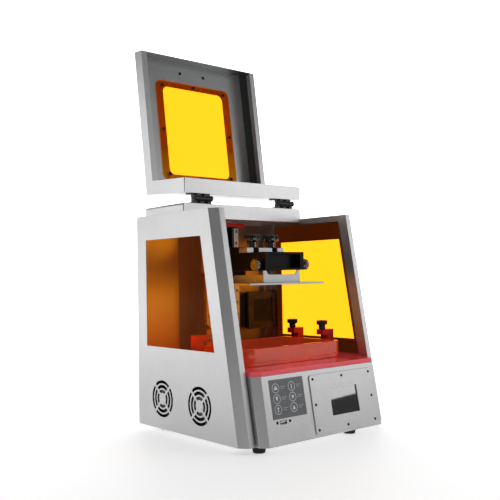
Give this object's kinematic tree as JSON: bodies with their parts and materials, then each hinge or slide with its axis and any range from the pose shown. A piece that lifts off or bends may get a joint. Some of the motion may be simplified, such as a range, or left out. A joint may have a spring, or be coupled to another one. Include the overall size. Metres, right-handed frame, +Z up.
{
  "type": "desktop resin 3d printer",
  "caption": "Desktop resin 3D printer with a flip-up lid, amber windows, a screw-driven build platform, a clamped sliding vat and a slanted front screen panel.",
  "frame": {"origin": "under the middle of the whole object's box with the lid open, on the surface it stands on", "axes": "+Z up, the control panel and chamber mouth face -Y, +X is the machine's right side seen from the front"},
  "size_m": [0.36, 0.4272, 0.7647],
  "materials": {
    "silver_paint": "satin silver-grey metallic powder coat",
    "amber_acrylic": "glossy amber light-blocking sheet",
    "red_acrylic": "glossy translucent red sheet",
    "vat_red": "glossy translucent red moulding",
    "red_anodised": "bright red anodised, satin",
    "black_anodised": "satin black anodised",
    "black_plastic": "fine matte",
    "black_gloss": "glossy screen cover",
    "clear_film": "clear release film",
    "screen_glass": "glossy dark masking screen",
    "steel": "ground steel",
    "bright_aluminium": "satin machined aluminium",
    "brass": "turned brass",
    "rubber": "matte black rubber",
    "label": "satin printed panel with plain round icons",
    "board_green": "circuit board",
    "black_oxide": "black oxide screws",
    "dark_metal": "dark satin anodised, slightly glossy"
  },
  "bodies": {
    "casing": {"base_pan": "silver_paint", "front_panel": "silver_paint", "left_side_panel": "silver_paint", "right_side_panel": "silver_paint", "rear_panel": "silver_paint", "top_cover": "silver_paint", "left_window": "amber_acrylic", "right_window": "amber_acrylic", "platform_plate": "red_acrylic", "masking_screen": "screen_glass", "screen_cover": "silver_paint", "front_screws": "black_oxide", "touch_screen": "black_gloss", "control_label": "label", "usb_port": "steel", "feet": "rubber", "hinge_lower_leaves": "black_anodised", "hinge_pins": "black_oxide", "z_column": "black_anodised", "linear_rails": "steel", "z_top_plate": "red_anodised", "z_motor": "black_plastic", "screw_bearing": "steel", "fan_frames": "black_plastic", "air_filter": "black_plastic", "light_box": "bright_aluminium", "led_board": "board_green", "main_board": "board_green", "power_supply": "bright_aluminium", "power_inlet": "black_plastic", "vat_clamps": "red_anodised"},
    "lid": {"lid_shell": "silver_paint", "lid_window": "amber_acrylic", "lid_screws": "black_oxide", "lid_handle": "black_anodised", "hinge_upper_leaves": "black_anodised"},
    "carriage": {"carriage_plate": "dark_metal", "rail_blocks": "steel", "lead_nut": "brass", "build_arm": "dark_metal", "clamp_bar": "bright_aluminium", "plate_hanger": "bright_aluminium", "build_plate": "bright_aluminium"},
    "screw_drive": {"lead_screw": "steel", "shaft_coupler": "bright_aluminium"},
    "vat": {"vat_tray": "vat_red", "film_frame": "vat_red", "vat_film": "clear_film"},
    "left_top_knob_body": {"left_top_knob": "black_plastic"},
    "right_top_knob_body": {"right_top_knob": "black_plastic"},
    "left_side_knob_body": {"left_side_knob": "black_plastic"},
    "right_side_knob_body": {"right_side_knob": "black_plastic"},
    "right_front_thumbscrew_body": {"right_front_thumbscrew": "black_plastic"},
    "left_front_thumbscrew_body": {"left_front_thumbscrew": "black_plastic"},
    "right_rear_thumbscrew_body": {"right_rear_thumbscrew": "black_plastic"},
    "left_rear_thumbscrew_body": {"left_rear_thumbscrew": "black_plastic"},
    "front_side_impeller_body": {"front_side_impeller": "black_plastic"},
    "rear_side_impeller_body": {"rear_side_impeller": "black_plastic"},
    "chamber_impeller_body": {"chamber_impeller": "black_plastic"},
    "power_rocker_body": {"power_rocker": "black_plastic"}
  },
  "joints": [
    {"name": "lid_hinge", "type": "hinge", "parent": "casing", "child": "lid", "pos_m": [0, 0.00737, 0.4473], "axis": [1, 0, 0], "range_deg": [0, 177.4]},
    {"name": "z_slide", "type": "slide", "parent": "casing", "child": "carriage", "axis": [0, 0, 1], "range_m": [-0.14, 0.04]},
    {"name": "lead_screw_turn", "type": "hinge", "parent": "casing", "child": "screw_drive", "pos_m": [0, 0.10357, 0.261], "axis": [0, 0, 1], "range_deg": [-6302, 1802]},
    {"name": "vat_slide", "type": "slide", "parent": "casing", "child": "vat", "axis": [0, -1, 0], "range_m": [0, 0.015]},
    {"name": "left_front_thumbscrew_turn", "type": "hinge", "parent": "casing", "child": "left_front_thumbscrew_body", "pos_m": [-0.1165, -0.08543, 0.191], "axis": [0, 0, 1], "range_deg": [0, 1080]},
    {"name": "left_rear_thumbscrew_turn", "type": "hinge", "parent": "casing", "child": "left_rear_thumbscrew_body", "pos_m": [-0.1165, 0.00057, 0.191], "axis": [0, 0, 1], "range_deg": [0, 1080]},
    {"name": "left_top_knob_turn", "type": "hinge", "parent": "carriage", "child": "left_top_knob_body", "pos_m": [-0.0242, -0.03843, 0.361], "axis": [0, 0, 1], "range_deg": [0, 1080]},
    {"name": "left_side_knob_turn", "type": "hinge", "parent": "carriage", "child": "left_side_knob_body", "pos_m": [-0.06, -0.09243, 0.317], "axis": [-1, 0, 0], "range_deg": [0, 1080]},
    {"name": "right_front_thumbscrew_turn", "type": "hinge", "parent": "casing", "child": "right_front_thumbscrew_body", "pos_m": [0.1165, -0.08543, 0.191], "axis": [0, 0, 1], "range_deg": [0, 1080]},
    {"name": "right_rear_thumbscrew_turn", "type": "hinge", "parent": "casing", "child": "right_rear_thumbscrew_body", "pos_m": [0.1165, 0.00057, 0.191], "axis": [0, 0, 1], "range_deg": [0, 1080]},
    {"name": "right_top_knob_turn", "type": "hinge", "parent": "carriage", "child": "right_top_knob_body", "pos_m": [0.0242, -0.03843, 0.361], "axis": [0, 0, 1], "range_deg": [0, 1080]},
    {"name": "right_side_knob_turn", "type": "hinge", "parent": "carriage", "child": "right_side_knob_body", "pos_m": [0.06, -0.09243, 0.317], "axis": [1, 0, 0], "range_deg": [0, 1080]},
    {"name": "front_side_fan_spin", "type": "hinge", "parent": "casing", "child": "front_side_impeller_body", "pos_m": [-0.168, -0.06943, 0.068], "axis": [1, 0, 0], "continuous": true},
    {"name": "rear_side_fan_spin", "type": "hinge", "parent": "casing", "child": "rear_side_impeller_body", "pos_m": [-0.168, 0.04757, 0.068], "axis": [1, 0, 0], "continuous": true},
    {"name": "chamber_fan_spin", "type": "hinge", "parent": "casing", "child": "chamber_impeller_body", "pos_m": [0.134, 0.12457, 0.2205], "axis": [0, 1, 0], "continuous": true},
    {"name": "power_rocker_tilt", "type": "hinge", "parent": "casing", "child": "power_rocker_body", "pos_m": [-0.11, 0.13687, 0.068], "axis": [-1, 0, 0], "range_deg": [0, 14]}
  ],
  "couplings": [
    {"joint": "lead_screw_turn", "follows": "z_slide", "rad_per_m": 785.4}
  ]
}
